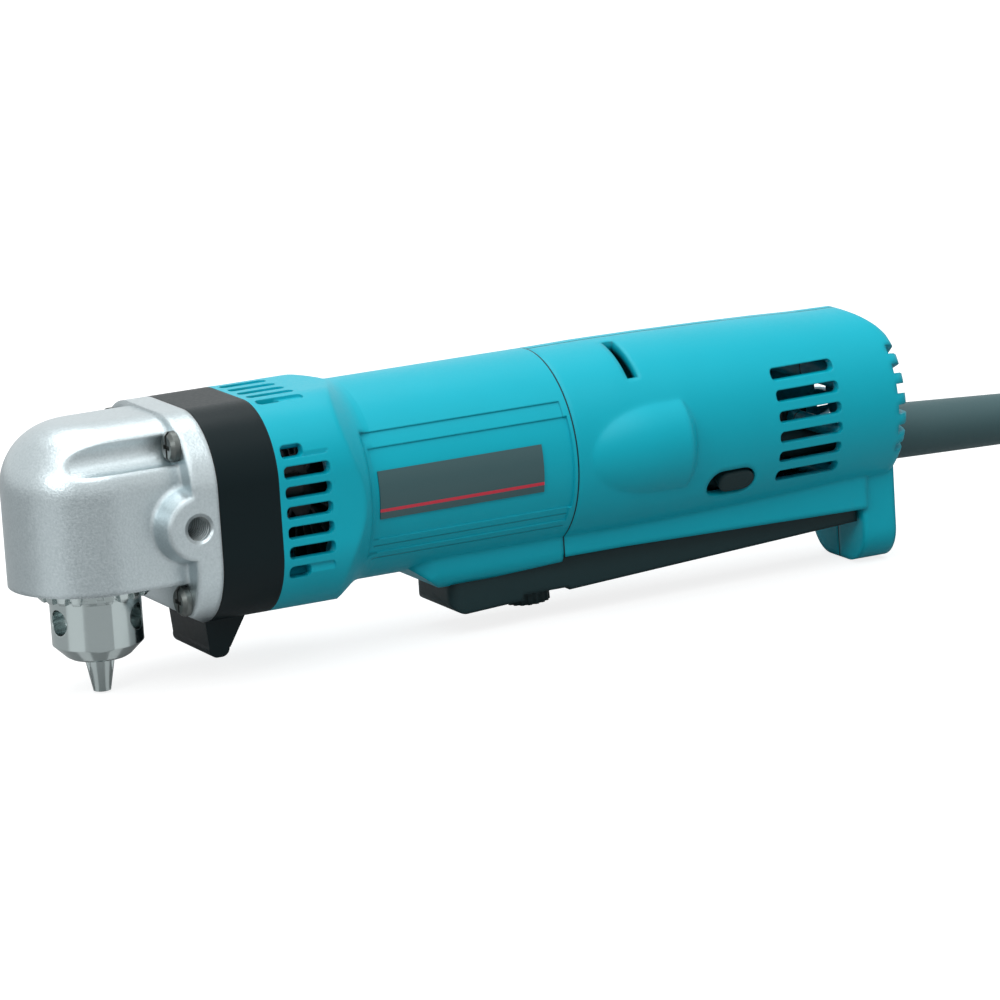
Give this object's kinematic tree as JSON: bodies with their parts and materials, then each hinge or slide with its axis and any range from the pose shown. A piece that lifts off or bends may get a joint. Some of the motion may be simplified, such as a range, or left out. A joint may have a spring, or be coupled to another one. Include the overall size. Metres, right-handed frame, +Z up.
{
  "type": "right angle drill",
  "caption": "Corded right angle drill: cast gear head with keyed chuck, tube motor housing, split rear handle with paddle lever, reversing button and mains lead",
  "frame": {"origin": "mouth of the closed chuck jaws, on the spindle axis, level with the rear foot", "axes": "+X along the motor axis towards the cord, +Z up along the spindle, +Y the far side of the picture"},
  "size_m": [0.5837, 0.0637, 0.0757],
  "materials": {
    "steel": "satin",
    "chuck_steel": "ground",
    "cast_aluminium": "satin casting",
    "teal_plastic": "satin moulding",
    "black_plastic": "satin moulding",
    "label": "printed film",
    "copper": "lacquered",
    "brass": "plain",
    "rubber": "matt"
  },
  "bodies": {
    "housing": {"gear_housing_screws": "steel", "handle_screws": "steel", "front_motor_bearing": "steel", "rear_motor_bearing": "steel", "field_core": "steel", "pinion_bearings": "steel", "upper_spindle_bearing": "steel", "lower_spindle_bearing": "steel", "bearing_retainer": "steel", "lever_pivot_pin": "steel", "cord_clamp_screws": "steel", "plug_pins": "steel", "gear_housing": "cast_aluminium", "gear_plate": "cast_aluminium", "motor_housing": "teal_plastic", "handle_left": "teal_plastic", "handle_right": "teal_plastic", "finger_guard_collar": "black_plastic", "switch_body": "black_plastic", "baffle_plate": "black_plastic", "cord_clamp": "black_plastic", "cord_tie": "black_plastic", "plug_body": "black_plastic", "carbon_brushes": "black_plastic", "side_label": "label", "field_coils": "copper", "brush_holders": "brass", "cord_guard": "rubber", "inner_lead": "rubber", "power_cord": "rubber", "cord_coil": "rubber"},
    "armature": {"armature_shaft": "steel", "armature_core": "steel", "armature_windings": "copper", "commutator": "copper", "cooling_fan": "black_plastic"},
    "intermediate": {"spur_gear": "steel", "bevel_pinion": "steel"},
    "spindle": {"spindle": "steel", "bevel_gear": "steel", "chuck_body": "chuck_steel"},
    "chuck_ring": {"chuck_sleeve": "chuck_steel", "chuck_nut": "chuck_steel"},
    "jaw_1": {"chuck_jaw_1": "chuck_steel"},
    "jaw_2": {"chuck_jaw_2": "chuck_steel"},
    "jaw_3": {"chuck_jaw_3": "chuck_steel"},
    "lever": {"paddle_lever": "black_plastic"},
    "wheel": {"speed_wheel": "black_plastic"},
    "plunger": {"switch_plunger": "black_plastic"},
    "reverser": {"reversing_button": "black_plastic"}
  },
  "joints": [
    {"name": "armature_spin", "type": "hinge", "parent": "housing", "child": "armature", "pos_m": [0.1, 0, 0.047], "axis": [1, 0, 0], "continuous": true},
    {"name": "intermediate_spin", "type": "hinge", "parent": "housing", "child": "intermediate", "pos_m": [0.03, 0, 0.059], "axis": [1, 0, 0], "continuous": true},
    {"name": "spindle_spin", "type": "hinge", "parent": "housing", "child": "spindle", "pos_m": [0, 0, 0.047], "axis": [0, 0, 1], "continuous": true},
    {"name": "chuck_ring_turn", "type": "hinge", "parent": "spindle", "child": "chuck_ring", "pos_m": [0, 0, 0.03], "axis": [0, 0, 1], "range_deg": [0, 2529]},
    {"name": "jaw_1_slide", "type": "slide", "parent": "spindle", "child": "jaw_1", "axis": [0.2371, 0.0482, 0.9703], "range_m": [0, 0.01757]},
    {"name": "jaw_2_slide", "type": "slide", "parent": "spindle", "child": "jaw_2", "axis": [-0.1603, 0.1812, 0.9703], "range_m": [0, 0.01757]},
    {"name": "jaw_3_slide", "type": "slide", "parent": "spindle", "child": "jaw_3", "axis": [-0.0768, -0.2294, 0.9703], "range_m": [0, 0.01757]},
    {"name": "lever_press", "type": "hinge", "parent": "housing", "child": "lever", "pos_m": [0.229, 0, 0.0194], "axis": [0, 1, 0], "range_deg": [0, 1.5], "stiffness_Nm_per_rad": 2, "springref_deg": -5.73},
    {"name": "switch_plunger_slide", "type": "slide", "parent": "housing", "child": "plunger", "axis": [0, 0, 1], "range_m": [0, 0.0011]},
    {"name": "speed_wheel_turn", "type": "hinge", "parent": "lever", "child": "wheel", "pos_m": [0.13, 0, 0.0037], "axis": [-0.0528, 0, 0.9986], "range_deg": [0, 270]},
    {"name": "reverser_slide", "type": "slide", "parent": "housing", "child": "reverser", "axis": [1, 0, 0], "range_m": [-0.0038, 0]}
  ],
  "couplings": [
    {"joint": "intermediate_spin", "follows": "armature_spin", "ratio": -0.29032},
    {"joint": "spindle_spin", "follows": "armature_spin", "ratio": -0.10369},
    {"joint": "jaw_1_slide", "follows": "chuck_ring_turn", "m_per_rad": 0.00039789},
    {"joint": "jaw_2_slide", "follows": "chuck_ring_turn", "m_per_rad": 0.00039789},
    {"joint": "jaw_3_slide", "follows": "chuck_ring_turn", "m_per_rad": 0.00039789},
    {"joint": "switch_plunger_slide", "follows": "lever_press", "m_per_rad": 0.04}
  ]
}
